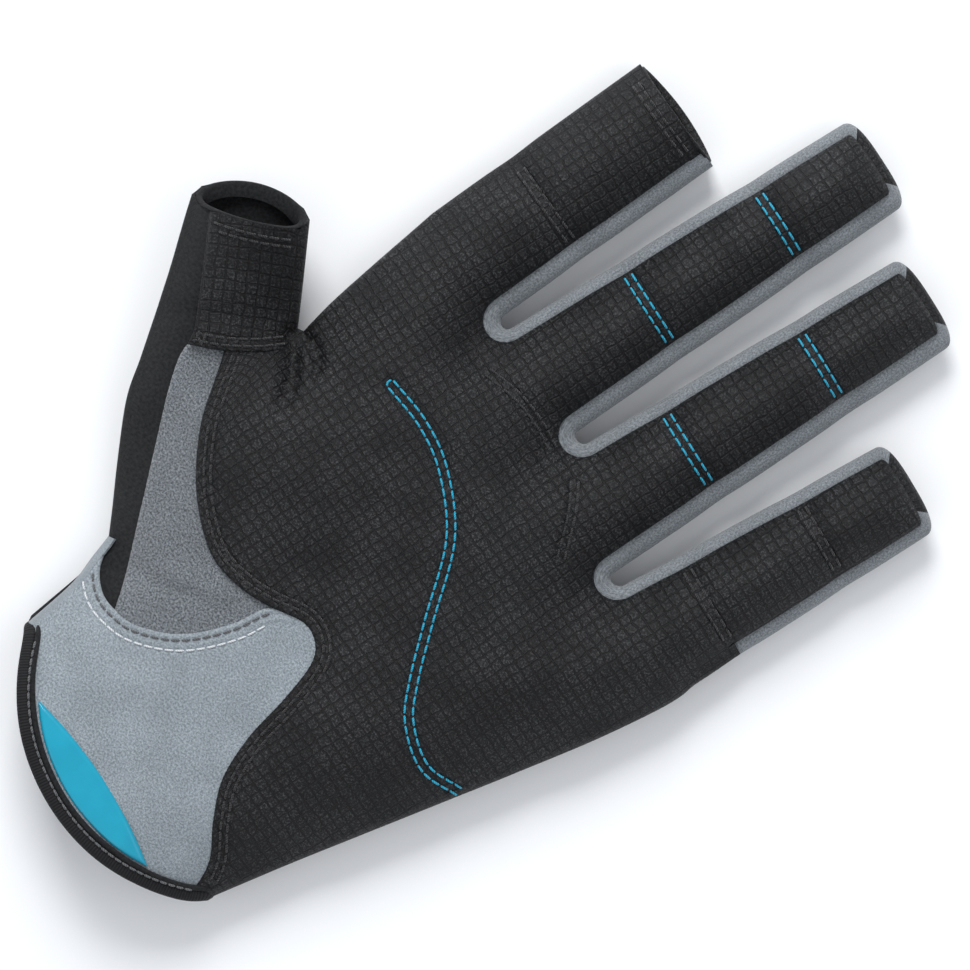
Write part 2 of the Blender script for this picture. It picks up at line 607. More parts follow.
class Soup:
    """Closed shells gathered into one mesh."""

    def __init__(self):
        self.co, self.faces, self.normals, self.uv, self.count = [], [], [], [], 0

    def shell(self, top, bottom, faces, n_top, uv):
        """Two skins and the rim between them; faces wind round the outside of the top skin."""
        n = len(top)
        co = np.vstack([top, bottom])
        directed = {(a, b) for f in faces for a, b in zip(f, f[1:] + f[:1])}
        border = sorted((a, b) for a, b in directed if (b, a) not in directed)
        rim = [(b, a, a + n, b + n) for a, b in border]
        around = np.zeros((n, 3))
        for b, a, c, _ in rim:
            face = np.cross(co[a] - co[b], co[c] - co[a])
            around[a] += face
            around[b] += face
        around = unit(around)
        skins = [list(f) for f in faces] + [[i + n for i in f[::-1]] for f in faces]
        both = np.vstack([n_top, -n_top])
        flat = [i for f in skins for i in f]
        edge = [i for f in rim for i in f]
        self.add(co, skins + [list(f) for f in rim], np.vstack([both[flat], around[[i % n for i in edge]]]),
                 np.vstack([uv, uv])[flat + edge])

    def tube(self, rings, uv_rings, endless):
        """Rings of points, each a closed loop; endless also joins the last ring to the first."""
        n, m = rings.shape[:2]
        along = np.roll(rings, -1, 0) - np.roll(rings, 1, 0)
        if not endless:
            along[0], along[-1] = rings[1] - rings[0], rings[-1] - rings[-2]
        normal = unit(np.cross(np.roll(rings, -1, 1) - np.roll(rings, 1, 1), along))
        middle = rings.mean(1, keepdims=True)
        if np.sum(normal * (rings - middle)) < 0:
            normal = -normal
        i, j = np.meshgrid(np.arange(n if endless else n - 1), np.arange(m), indexing="ij")
        square = [(0, 0), (1, 0), (1, 1), (0, 1)]
        faces = np.stack([(i + a) % n * m + (j + b) % m for a, b in square], 2).reshape(-1, 4)
        uvs = np.stack([uv_rings[i + a, j + b] for a, b in square], 2).reshape(-1, 2)
        flat, normal = rings.reshape(-1, 3), normal.reshape(-1, 3)
        normals = normal[faces.ravel()]
        a, b, c, _ = flat[faces[m // 2]]
        flip = np.dot(np.cross(b - a, c - a), normal[faces[m // 2][0]]) < 0
        faces = faces.tolist()
        for ring, other, order in () if endless else ((0, 1, 1), (n - 1, n - 2, -1)):
            faces.append((ring * m + np.arange(m)).tolist()[::order])
            out = unit(rings[ring].mean(0) - rings[other].mean(0))
            normals = np.vstack([normals, np.tile(out, (m, 1))])
            uvs = np.vstack([uvs, uv_rings[ring, :m]])
        if flip:
            start = np.cumsum([0] + [len(f) for f in faces])
            order = np.concatenate([np.arange(b - 1, a - 1, -1) for a, b in zip(start, start[1:])])
            faces = [f[::-1] for f in faces]
            normals, uvs = normals[order], uvs[order]
        self.add(flat, faces, normals, uvs)

    def add(self, co, faces, normals, uv):
        self.co.append(co)
        self.faces += [[int(i) + self.count for i in f] for f in faces]
        self.normals.append(normals)
        self.uv.append(uv)
        self.count += len(co)

    def build(self, name, material):
        return cloth_object(name, np.vstack(self.co), self.faces, np.vstack(self.normals),
                            np.vstack(self.uv), material)


def panel(name, loop, surface, material, step=STEP, uv=None, cloth=CLOTH):
    """A cut piece of fabric lying on a surface; the loop runs anticlockwise."""
    loop = np.asarray(loop, float)
    low, high = loop.min(0), loop.max(0)
    columns = np.arange(math.floor(low[0] / step), math.ceil(high[0] / step) + 1)
    rows = np.arange(math.floor(low[1] / step / 0.866), math.ceil(high[1] / step / 0.866) + 1)
    x, y = np.meshgrid(columns, rows)
    p = np.stack([((x + 0.5 * (y % 2)) * step).ravel(), (y * step * 0.866).ravel()], 1)
    p = p[outline_distance(p, loop) > 0.5 * step]
    extra = [p]
    for lines, spacing, offsets, clear in ((surface.rolls, 0.8, (0.1, 0.3, 0.6, 0.95), 0.09),
                                           (surface.rows, 0.9, (-0.45, 0, 0.45), 0.4)):
        for line in lines:
            line = surface.near(loop, line)
            for d in offsets if line is not None else ():
                ring = shifted(resample(line, spacing), d)
                extra.append(ring[outline_distance(ring, loop) > clear])
    points = np.vstack([loop, *extra])
    n = len(loop)
    flat, _, faces, *_ = delaunay_2d_cdt([Vector(q) for q in points], [(i, (i + 1) % n) for i in range(n)],
                                         [], 1, 1e-4)
    flat = np.array([tuple(q) for q in flat])
    faces = [tuple(f) for f in faces]
    a, b, c = [flat[q] for q in faces[0][:3]]
    ccw = (b[0] - a[0]) * (c[1] - a[1]) - (b[1] - a[1]) * (c[0] - a[0]) > 0
    if ccw != (surface.sign > 0):
        faces = [f[::-1] for f in faces]
    top = np.column_stack([flat, surface(flat)])
    plain = Surface(surface.field, surface.sign, surface.lift)
    bottom = np.column_stack([flat, plain(flat) - surface.sign * (ROLL + 0.05 if surface.rolls else cloth)])
    soup = Soup()
    soup.shell(top, bottom, faces, surface.normal(flat), flat if uv is None else uv(flat))
    return soup.build(name, material)


# ---- Finishes ----

class Finish:
    """A shader tree with short ways to add nodes."""

    def __init__(self, name, rough, sheen=0.0, coat=0.0):
        self.mat = bpy.data.materials.new(name)
        self.mat.use_nodes = True
        self.tree = self.mat.node_tree
        self.bsdf = next(n for n in self.tree.nodes if n.type == "BSDF_PRINCIPLED")
        self.bsdf.inputs["Roughness"].default_value = rough
        self.bsdf.inputs["Sheen Weight"].default_value = sheen
        self.bsdf.inputs["Coat Weight"].default_value = coat
        self.bsdf.inputs["Specular IOR Level"].default_value = 0.22
        uv = self.tree.nodes.new("ShaderNodeUVMap")
        self.mm = self.new("ShaderNodeVectorMath", [uv.outputs[0], (UV_UNIT,) * 3], operation="MULTIPLY")
        apart = self.new("ShaderNodeSeparateXYZ", [self.mm])
        self.u, self.v = apart.node.outputs[0], apart.node.outputs[1]

    def new(self, kind, inputs=(), out=0, **settings):
        node = self.tree.nodes.new(kind)
        for key, value in settings.items():
            setattr(node, key, value)
        for k, value in (inputs.items() if isinstance(inputs, dict) else enumerate(inputs)):
            if isinstance(value, bpy.types.NodeSocket):
                self.tree.links.new(value, node.inputs[k])
            else:
                node.inputs[k].default_value = value
        return node.outputs[out]

    def math(self, operation, a, b=0.0):
        return self.new("ShaderNodeMath", [a, b], operation=operation)

    def noise(self, scale, detail=2.0, rough=0.6):
        return self.new("ShaderNodeTexNoise", {"Vector": self.mm, "Scale": scale, "Detail": detail,
                                               "Roughness": rough})

    def spread(self, value, low, high, to_low=0.0, to_high=1.0):
        return self.new("ShaderNodeMapRange", [value, low, high, to_low, to_high],
                        interpolation_type="SMOOTHSTEP")

    def mix(self, share, a, b):
        node = self.tree.nodes.new("ShaderNodeMix")
        node.data_type = "RGBA"
        for k, value in ((0, share), (6, a), (7, b)):
            if isinstance(value, bpy.types.NodeSocket):
                self.tree.links.new(value, node.inputs[k])
            else:
                node.inputs[k].default_value = (*value, 1) if isinstance(value, tuple) else value
        return node.outputs[2]

    def lines(self, along, period, width):
        """1 on lines across the given coordinate, 0 between them."""
        part = self.math("ABSOLUTE", self.math("SUBTRACT", self.math(
            "FRACT", self.math("DIVIDE", along, period)), 0.5))
        return self.spread(part, 0.5 - width / period, 0.5 - width / period * 0.35)

    def finish(self, colour, height, depth):
        self.tree.links.new(colour, self.bsdf.inputs["Base Color"])
        bump = self.new("ShaderNodeBump", {"Height": height, "Distance": depth * MM, "Strength": 1.0})
        self.tree.links.new(bump, self.bsdf.inputs["Normal"])
        return self.mat


def grip_fabric():
    f = Finish("grip_fabric", 0.55)
    stray = f.math("MULTIPLY", f.math("SUBTRACT", f.noise(0.35, 1.0), 0.5), 1.1)
    u, v = [f.math("ADD", x, stray) for x in (f.u, f.v)]
    lines = f.math("MAXIMUM", f.lines(u, 2.25, 0.26), f.lines(v, 2.25, 0.26))
    grain = f.noise(2.1, 4.0, 0.85)
    broad = f.noise(0.09, 2.0)
    cell = f.mix(f.spread(grain, 0.47, 0.66), (0.005, 0.0052, 0.0056), (0.07, 0.072, 0.076))
    cell = f.mix(f.spread(broad, 0.35, 0.65), f.mix(0.55, (0.0, 0.0, 0.0), cell), cell)
    colour = f.mix(f.math("MULTIPLY", lines, 0.88), cell, (0.005, 0.005, 0.0055))
    height = f.math("SUBTRACT", f.math("MULTIPLY", grain, 0.7), lines)
    return f.finish(colour, height, 0.2)


def suede(name, dark, light, nap, rough=0.95):
    f = Finish(name, rough, sheen=0.25)
    fine = f.noise(2.2, 4.0, 0.8)
    broad = f.noise(0.12, 2.0, 0.5)
    colour = f.mix(f.spread(fine, 0.36, 0.66), dark, light)
    shade = f.mix(f.spread(broad, 0.3, 0.7), colour, f.mix(0.88, (0.0, 0.0, 0.0), colour))
    return f.finish(shade, f.math("ADD", fine, f.math("MULTIPLY", broad, 0.4)), nap)


def knit(name, dark, light, period):
    f = Finish(name, 0.85, sheen=0.04)
    rows = f.math("SINE", f.math("MULTIPLY", f.v, 6.283 / period))
    stitches = f.math("SINE", f.math("MULTIPLY", f.u, 6.283 / (period * 0.8)))
    weave = f.math("MULTIPLY", rows, stitches)
    grain = f.noise(1.4, 3.0)
    colour = f.mix(f.spread(grain, 0.3, 0.7), dark, light)
    return f.finish(colour, f.math("ADD", f.math("MULTIPLY", weave, 0.4), grain), 0.12)


def ribbed():
    f = Finish("binding", 0.75, sheen=0.03)
    ribs = f.lines(f.u, 0.62, 0.2)
    grain = f.noise(3.0, 2.0)
    colour = f.mix(ribs, f.mix(grain, (0.006, 0.0063, 0.007), (0.017, 0.0175, 0.019)), (0.0045, 0.0045, 0.005))
    return f.finish(colour, f.math("SUBTRACT", f.math("MULTIPLY", grain, 0.3), ribs), 0.14)


def gloss():
    f = Finish("gloss_patch", 0.3, coat=0.5)
    broad = f.noise(0.12, 2.0)
    fine = f.noise(1.3, 2.0)
    colour = f.mix(broad, (0.002, 0.24, 0.36), (0.004, 0.32, 0.46))
    return f.finish(colour, f.math("ADD", f.math("MULTIPLY", fine, 0.3), broad), 0.06)


def thread(name, dark, light):
    f = Finish(name, 0.55, sheen=0.2)
    twist = f.math("SINE", f.math("ADD", f.math("MULTIPLY", f.u, 14.0), f.math("MULTIPLY", f.v, 9.0)))
    colour = f.mix(f.spread(twist, -1, 1), dark, light)
    return f.finish(colour, twist, 0.04)


def tape(name, dark, light, scale):
    f = Finish(name, 0.9, sheen=0.2)
    loops = f.new("ShaderNodeTexVoronoi", {"Vector": f.mm, "Scale": scale})
    colour = f.mix(f.spread(loops, 0.1, 0.6), light, dark)
    return f.finish(colour, f.math("MULTIPLY", loops, -1.0), 0.35)


def rubber():
    f = Finish("rubber_tab", 0.5)
    grain = f.noise(1.1, 3.0)
    return f.finish(f.mix(grain, (0.010, 0.010, 0.011), (0.022, 0.022, 0.024)), grain, 0.08)


GRID = (grip_fabric(), "grip_fabric")
HEEL_SUEDE = (suede("heel_suede", (0.15, 0.175, 0.195), (0.36, 0.405, 0.435), 0.2), "suede")
GUSSET = (suede("gusset_suede", (0.045, 0.052, 0.058), (0.27, 0.295, 0.32), 0.34), "gusset_suede")
STRIP = (suede("fourchette_suede", (0.105, 0.118, 0.128), (0.27, 0.295, 0.315), 0.2), "fourchette_suede")
KNIT = (knit("knit", (0.005, 0.0053, 0.0058), (0.017, 0.018, 0.0195), 0.42), "knit")
LINING = (knit("lining", (0.008, 0.0083, 0.009), (0.022, 0.023, 0.025), 0.7), "lining")
CUFF = (knit("stretch_cuff", (0.012, 0.0125, 0.014), (0.028, 0.029, 0.032), 0.9), "stretch_cuff")
BIND = (ribbed(), "binding")
TEAL = (gloss(), "gloss_patch")
HOOK = (tape("tape", (0.014, 0.015, 0.017), (0.05, 0.052, 0.056), 1.6), "tape")
RUBBER = (rubber(), "rubber_tab")
BLACK_THREAD = (thread("thread_black", (0.008, 0.008, 0.009), (0.034, 0.034, 0.036)), "thread")
TEAL_THREAD = (thread("thread_teal", (0.002, 0.22, 0.36), (0.01, 0.42, 0.62)), "thread")
WHITE_THREAD = (thread("thread_white", (0.42, 0.45, 0.47), (0.72, 0.75, 0.77)), "thread")
GREY_THREAD = (thread("thread_grey", (0.05, 0.052, 0.056), (0.13, 0.135, 0.14)), "thread")


# ---- Where a piece rides ----

def at_mm(p):
    return (p[0] * MM, p[1] * MM, 0.0)


def place(obj, step, *nodes):
    """Stand in for the CAD nodes, and ride the step's body or bend across its joint."""
    if nodes:
        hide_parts(*nodes)
    if step in (HAND, STRAP):
        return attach(obj, step[0])
    if step == THUMB_ROOT:
        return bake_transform(obj)
    if step == THUMB_TIP:
        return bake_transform(obj)
    f = FINGERS[step[0]]
    y0, y1 = f.zones[step[1]]
    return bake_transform(obj, f.bodies[step[1]], f.bodies[step[1] + 1], at_mm(f.at(0, y0)), at_mm(f.at(0, y1)))


# ---- Lines of the palm pieces ----

SEAM = curve(PALM_SEAM, 1.2)
HEEL_LINE = curve(HEEL_EDGE, 1.2)
GUSSET_LINE = curve(GUSSET_EDGE, 1.2)
THUMB_SEAM = np.vstack([resample(thumb_at([-20.5, -20.6, -20.9, -21.9], [26, 8, -2, -5]), 1.2),
                        curve(thumb_at([-21.9, -15, -8, -3, -0.6], [-5, -5.4, -4.8, -3.6, -2.6]), 1.2)[1:]])


def split(line, value, measure):
    """The line in two halves where the measure first crosses the value."""
    m = measure(line) - value
    k = int(np.flatnonzero(m[:-1] * m[1:] < 0)[0])
    x = line[k] + (line[k + 1] - line[k]) * m[k] / (m[k] - m[k + 1])
    return np.vstack([line[:k + 1], x]), np.vstack([x, line[k + 1:]])


def grey_edges():
    """The palm's turned edges beside the grey strips."""
    lines = []
    for run in OUTLINE:
        current = None
        for name, style, _, own in run:
            if style == "strip" or name.endswith("_end"):
                current = own["edge"] if current is None else np.vstack([current, own["edge"][1:]])
            elif current is not None:
                lines.append(current)
                current = None
        if current is not None:
            lines.append(current)
    return lines


WRIST_EDGE = stretch("wrist_side", "edge")
RADIAL_EDGE = stretch("radial", "edge")
LEFT_EDGE = {k: stretch("thumb_left", "edge", ("thumb", k)) for k in (0, 1)}
RIGHT_EDGE = {k: stretch("thumb_right", "edge", ("thumb", k)) for k in (0, 1)}
CUT_A, CUT_B = LEFT_EDGE[1][-1], RIGHT_EDGE[1][0]


def bowed(a, b, rise):
    """A line from a to b that bows to its right by the rise."""
    line = resample([a, b], STEP)
    d = unit(np.asarray(b) - a)
    t = np.linspace(-1, 1, len(line))[:, None]
    return line + rise * (1 - t * t) * np.array((d[1], -d[0]))


def on_cut(u):
    """The point of the line across the thumb's root at u."""
    ua, ub = thumb_uv(CUT_A)[0], thumb_uv(CUT_B)[0]
    return CUT_A + (CUT_B - CUT_A) * (u - ua) / (ub - ua)


def doubled(line, half=0.9):
    return [shifted(line, half), shifted(line, -half)]


def uturn(line, half=0.9):
    """Two rows joined round the line's start."""
    d = unit(line[0] - line[1])
    n = np.array((-d[1], d[0]))
    t = np.linspace(0, math.pi, 7)[1:-1, None]
    round_end = line[0] + half * (-np.cos(t) * n + np.sin(t) * d)
    a, b = doubled(line, half)
    if np.linalg.norm(a[0] - round_end[0]) > np.linalg.norm(b[0] - round_end[0]):
        a, b = b, a
    return np.vstack([a[::-1], round_end, b])


TEAL_ROW = uturn(curve(S_LINE, 1.0))
SEAM_ROWS = [shifted(SEAM, 1.8), shifted(SEAM, 3.2)]
HEEL_ROWS = [shifted(HEEL_LINE, 1.4), shifted(HEEL_LINE, 3.5)]
PALM_ROWS = doubled(curve([(-7.9, -7.6), (0, -5.2), (7, -4.6), (13.2, -5.2)], 1.0), 0.8) + \
    doubled(curve([(20.8, -4.8), (26, -9), (32.9, -16.6)], 1.0), 0.8)
THUMB_ROWS = [shifted(THUMB_SEAM[22:], 1.2), shifted(THUMB_SEAM[22:], 2.7)]


def hinge_rows(f, h):
    x = np.linspace(-f.width(h) + STRIP_LEFT + 0.5, f.width(h) - STRIP_RIGHT - 0.5, 14)
    bow = 0.5 * (1 - (x / 12) ** 2)
    return [f.at(x, h + dy - bow) for dy in (-0.9, 0.9)]


HINGE_ROWS = {(f.name, k): hinge_rows(f, h) for f in FINGERS.values() for k, h in enumerate(f.hinges) if k}
PALM_ROLLS = grey_edges() + [SEAM]
PALM_SURFACE = Surface(PALM, 1, PALM_LIFT, PALM_ROLLS,
                       SEAM_ROWS + PALM_ROWS + [TEAL_ROW] + [r for rows in HINGE_ROWS.values() for r in rows])
HEEL_SURFACE = Surface(PALM, 1, HEEL_LIFT, [HEEL_LINE], HEEL_ROWS)
GUSSET_SURFACE = Surface(PALM, 1, GUSSET_LIFT, [GUSSET_LINE])
KNIT_SURFACE = Surface(PALM, 1, KNIT_LIFT)
MOUTH_RIGHT, MOUTH_LEFT = RIGHT_EDGE[1][-1], LEFT_EDGE[1][0]
THUMB_MOUTH = bowed(MOUTH_RIGHT, MOUTH_LEFT, THUMB_BOW[0])


def thumb_panel_lift(p):
    u, v = thumb_uv(p)
    return PALM_LIFT + 0.7 * smooth(1 - (v + 5) / 9) * smooth((-1.5 - u) / 3)


THUMB_SURFACE = Surface(PALM, 1, thumb_panel_lift, [THUMB_SEAM], THUMB_ROWS)


def turned_uv(p):
    """Plan coordinates turned with the grain, which follows the thumb beyond the web."""
    turn_by = math.atan2(THUMB_ACROSS[1], THUMB_ACROSS[0]) * 0.8 * smooth((fold_side(p) + 4) / 14)
    r = p - WEB
    c, d = np.cos(-turn_by), np.sin(-turn_by)
    return WEB + np.stack([c * r[:, 0] - d * r[:, 1], d * r[:, 0] + c * r[:, 1]], 1)


def thumb_grain(p):
    return np.stack(thumb_uv(p), 1)


def finger_roots(key):
    """The line across the roots of the fingers, from the little finger to the index finger."""
    lines = []
    for f, between in ((LITTLE, ("crotch_ring_little", "ring_low")), (RING, ("crotch_middle_ring",)),
                       (MIDDLE, ("crotch_index_middle",)), (INDEX, ())):
        lines += [cut_line(f, 0, key)[::-1]] + [stretch(name, key) for name in between]
    return lines


def finger_panels(side, key, bow, surface, finish, **more):
    """The palm or back panels of every finger, one for each segment."""
    for f in FINGERS.values():
        for k in range(len(f.cuts)):
            right, left = [stretch(f.name + end, key, (f.name, k)) for end in ("_right", "_left")]
            if k + 1 < len(f.cuts):
                far = cut_line(f, k + 1, key)[::-1]
            elif f.open:
                far = bowed(right[-1], left[0], bow)
            else:
                far = stretch(f.name + "_end", key)
            place(panel(f"{f.name}_{side}_{k}", chain(cut_line(f, k, key), right, far, left), surface, finish, **more),
                  (f.name, k), f"{f.bodies[k + 1]}_{side}")


# ---- The panels of the palm side ----

web_end = RADIAL_EDGE[-1]
seam_thumb, seam_hand = split(SEAM, FOLD_CUT, fold_side)
fold_cut = resample([web_end, seam_hand[0]], STEP)
hand_loop = chain(stretch("ulnar", "edge"), *finger_roots("edge"), RADIAL_EDGE, fold_cut, seam_hand)
place(panel("palm", hand_loop, PALM_SURFACE, GRID, uv=turned_uv), HAND, "palm_panel", "palm_reinforcement")
wing_loop = chain(fold_cut[::-1], stretch("web", "edge"), thumb_at([-8, -14], [-2.6, -3.2]), seam_thumb)
place(panel("palm_wing", wing_loop, PALM_SURFACE, GRID, uv=turned_uv), THUMB_ROOT, "thumb_web_wing")

heel_tuck = shifted(SEAM, 1.3)
heel_tuck = heel_tuck[heel_tuck[:, 0] > 15]
heel_loop = chain(WRIST_EDGE, arc(CUFF_MID, CUFF_R - 0.6, -136.5, -46, 62), heel_tuck[::-1], HEEL_LINE)
place(panel("heel", heel_loop, HEEL_SURFACE, HEEL_SUEDE), HAND, "heel_panel")

tuck = shifted(SEAM, 2.2)
tuck = tuck[tuck[:, 0] < 10]
tuck_thumb, tuck_hand = split(tuck, FOLD_CUT, fold_side)
gusset_thumb, gusset_hand = split(GUSSET_LINE, FOLD_CUT, fold_side)
gusset_cut = resample([gusset_hand[0], tuck_hand[0]], STEP)
wing = chain(tuck_thumb[::-1], thumb_at([-14, -19.3], [-2.2, -2.2]), gusset_thumb, gusset_cut)
place(panel("gusset_wing", wing, GUSSET_SURFACE, GUSSET), THUMB_ROOT, "thumb_gusset_wing")
under_heel = curve([GUSSET_LINE[-1], (0, -99.5), (6.5, -93), (10, -84), (12, -75), tuck_hand[-1]])
place(panel("gusset", chain(gusset_cut[::-1], gusset_hand, under_heel, tuck_hand[::-1]), GUSSET_SURFACE,
            GUSSET), HAND, "thumb_gusset")

knit_line = shifted(GUSSET_LINE, 1.6)
knit_thumb, knit_hand = split(knit_line, FOLD_CUT, fold_side)
knit_cut = resample([LEFT_EDGE[0][-1], knit_hand[0]], STEP)
knit_top = resample([CUT_A, on_cut(KNIT_U)], STEP)
place(panel("knit_root", chain(LEFT_EDGE[0], knit_cut, knit_thumb[::-1], knit_top[::-1]), KNIT_SURFACE, KNIT),
      THUMB_ROOT, "thumb_outer_panel")
wrist_top = WRIST_EDGE[WRIST_EDGE[:, 1] > -101]
place(panel("knit_wrist", chain(knit_cut[::-1], wrist_top, [(-10, -103)], knit_hand[::-1]), KNIT_SURFACE, KNIT),
      HAND)
mouth_knit = THUMB_MOUTH[thumb_uv(THUMB_MOUTH)[0] < KNIT_U]
place(panel("knit_stall", chain(mouth_knit, LEFT_EDGE[1], knit_top), KNIT_SURFACE, KNIT), THUMB_TIP,
      "thumb_tip_outer")

above, below = split(THUMB_SEAM, 0.0, lambda p: thumb_uv(p)[1] - np.interp(
    thumb_uv(p)[0], [thumb_uv(CUT_A)[0], thumb_uv(CUT_B)[0]], [thumb_uv(CUT_A)[1], thumb_uv(CUT_B)[1]]))
thumb_cut = resample([above[-1], CUT_B], STEP)
above = above[thumb_uv(above)[1] < THUMB_LEN - 1.2]
mouth_panel = THUMB_MOUTH[thumb_uv(THUMB_MOUTH)[0] > -20.3]
place(panel("thumb_root", chain(below, [thumb_at(-1.9, 0.2)], RIGHT_EDGE[0], thumb_cut[::-1]),
            THUMB_SURFACE, GRID, uv=thumb_grain), THUMB_ROOT)
place(panel("thumb_stall", chain(thumb_cut, RIGHT_EDGE[1], mouth_panel, above), THUMB_SURFACE, GRID, uv=thumb_grain),
      THUMB_TIP, "thumb_tip_panel")

finger_panels("palm", "edge", INDEX_BOW[0], PALM_SURFACE, GRID, uv=turned_uv)


# ---- The side walls ----

def band_grid(lines, lift, plain, grain):
    """Outer skin of a side wall: columns from the palm's edge over the rim to the back's edge."""
    edge, rim, under = lines["edge"], lines["rim"], lines["under"]
    out = unit(rim - edge)
    wide = np.linalg.norm(rim - edge, axis=1)[:, None]
    slope = ((PALM(edge + 0.3 * out) - PALM(edge - 0.3 * out)) / 0.6).clip(-1.3, 0.1)[:, None]
    z0 = (PALM(edge) + lift)[:, None]
    z2 = BACK(under)[:, None]
    z1 = z2 + 0.52 * (z0 - z2)
    start = np.hstack([edge - (0 if plain else 0.8) * out, z0])
    reach = 0.45 * wide
    first = np.hstack([edge + reach * out, z0 + (slope * reach if plain else 0.75)])
    middle = np.hstack([rim, z1])
    end = np.hstack([under, z2])
    arms = [(start, first, np.hstack([rim, z1 + 0.5 * (z0 - z1)]), middle),
            (middle, np.hstack([rim, z1 - 0.5 * (z1 - z2)]), np.hstack([under + 0.4 * (rim - under), z2]), end)]
    rows = []
    for n, (a, b, c, d) in enumerate(arms):
        for t in np.linspace(0, 1, 8)[n:]:
            rows.append((1 - t) ** 3 * a + 3 * t * (1 - t) ** 2 * b + 3 * t * t * (1 - t) * c + t ** 3 * d)
    grid = np.stack(rows, 1)
    across = np.cumsum(np.linalg.norm(np.diff(grid, axis=1, prepend=grid[:, :1]), axis=2), 1)
    along = run_of(rim)
    if plain:
        uv = (edge[:, None, :] + across[:, :, None] * out[:, None, :]).reshape(-1, 2)
        uv = grain(uv).reshape(*across.shape, 2)
    else:
        uv = np.stack([np.broadcast_to(along[:, None], across.shape), across], 2)
    di = np.gradient(grid, axis=0)
    dj = np.gradient(grid, axis=1)
    normal = unit(np.cross(dj, di))
    return grid, normal, uv


WALLS = {}
FINISHES = {"thumb_left": (KNIT, KNIT_LIFT), "wrist_side": (HEEL_SUEDE, HEEL_LIFT)}
for run in OUTLINE:
    groups = []
    for name, style, step, lines in run:
        key = (style == "strip" or name.endswith("_end"), FINISHES.get(name, (GRID, PALM_LIFT)),
               name == "thumb_right")
        if not groups or groups[-1][0] != key:
            groups.append((key, []))
        groups[-1][1].append((name, step, lines, style))
    for (tucked, (finish, lift), _), members in groups:
        joined = {k: np.vstack([members[0][2][k]] + [m[2][k][1:] for m in members[1:]])
                  for k in ("edge", "rim", "under")}
        grain = thumb_grain if members[-1][0].startswith("thumb") else turned_uv
        grid, normal, uv = band_grid(joined, WALL_LIFT if tucked else lift, not tucked, grain)
        start = 0
        for name, step, lines, style in members:
            end = start + len(lines["edge"])
            wall = (grid[start:end], normal[start:end], uv[start:end], finish if style == "plain" else STRIP)
            WALLS.setdefault((name, step, style), []).append(wall)
            start = end - 1

WALL_NODES = {"ulnar": ("side_walls",), "crotch_ring_little": ("ring_little_fourchette",),
              "crotch_middle_ring": ("middle_ring_fourchette",),
              "crotch_index_middle": ("index_middle_fourchette",), "middle_end": ("middle_tip",),
              "ring_end": ("ring_tip",), "little_end": ("little_tip",)}
for (name, step, style), parts in WALLS.items():
    soup = Soup()
    for grid, normal, uv, finish in parts:
        n, m = grid.shape[:2]
        ids = np.arange(n * m).reshape(n, m)
        faces = [(i, i + 1, i + m + 1, i + m) for i in ids[:-1, :-1].ravel().tolist()]
        inner = grid - CLOTH * normal
        soup.shell(grid.reshape(-1, 3), inner.reshape(-1, 3), faces, normal.reshape(-1, 3), uv.reshape(-1, 2))
    nodes = WALL_NODES.get(name, ())
    if name.endswith("_right") and step[0] != "thumb":
        nodes = (FINGERS[step[0]].bodies[step[1] + 1] + "_sides",)
    label = f"side_{name}_{step[-1]}_{style}"
    place(soup.build(label, parts[0][3]), step, *nodes)


# ---- The back ----

BACK_SURFACE = Surface(BACK, -1, 0.0)


def under(name, step=None):
    return stretch(name, "under", step)


(ulnar_wrist, ulnar_low), (side_high, side_wrist) = [
    split(under(name), WRIST_Y, lambda p: p[:, 1]) for name in ("ulnar", "wrist_side")]
back_cut = resample([side_high[-1], ulnar_low[0]], STEP)
fold_back = resample([under("radial")[-1], under("thumb_left", THUMB_ROOT)[-1]], STEP)
back_loop = chain(ulnar_low, *finger_roots("under"), under("radial"), fold_back, side_high, back_cut)
place(panel("back", back_loop, BACK_SURFACE, LINING, step=BACK_STEP), HAND, "back_panel")
wrist_loop = chain(back_cut[::-1], side_wrist, [(-14.6, -118.6), (48.2, -118.6)], ulnar_wrist)
place(panel("wrist_back", wrist_loop, BACK_SURFACE, CUFF, step=BACK_STEP), HAND, "wrist_back_panel")
(root_left, root_right), (tip_left, tip_right) = [
    [under(side, step) for side in ("thumb_left", "thumb_right")] for step in (THUMB_ROOT, THUMB_TIP)]
back_thumb_cut = resample([tip_left[-1], tip_right[0]], STEP)
place(panel("thumb_back_root", chain(fold_back[::-1], under("web"), root_right, back_thumb_cut[::-1], root_left),
            BACK_SURFACE, KNIT, step=2.0), THUMB_ROOT)
back_mouth = bowed(tip_right[-1], tip_left[0], THUMB_BOW[1])
place(panel("thumb_back_stall", chain(back_thumb_cut, tip_right, back_mouth, tip_left), BACK_SURFACE, KNIT,
            step=2.0), THUMB_TIP)
finger_panels("back", "under", INDEX_BOW[1], BACK_SURFACE, LINING, step=2.0)


# ---- Binding and hems: profiles swept round the openings ----

def wall_column(name, step, style, last):
    grid = WALLS[(name, step, style)][-1 if last else 0][0]
    return grid[-1 if last else 0]


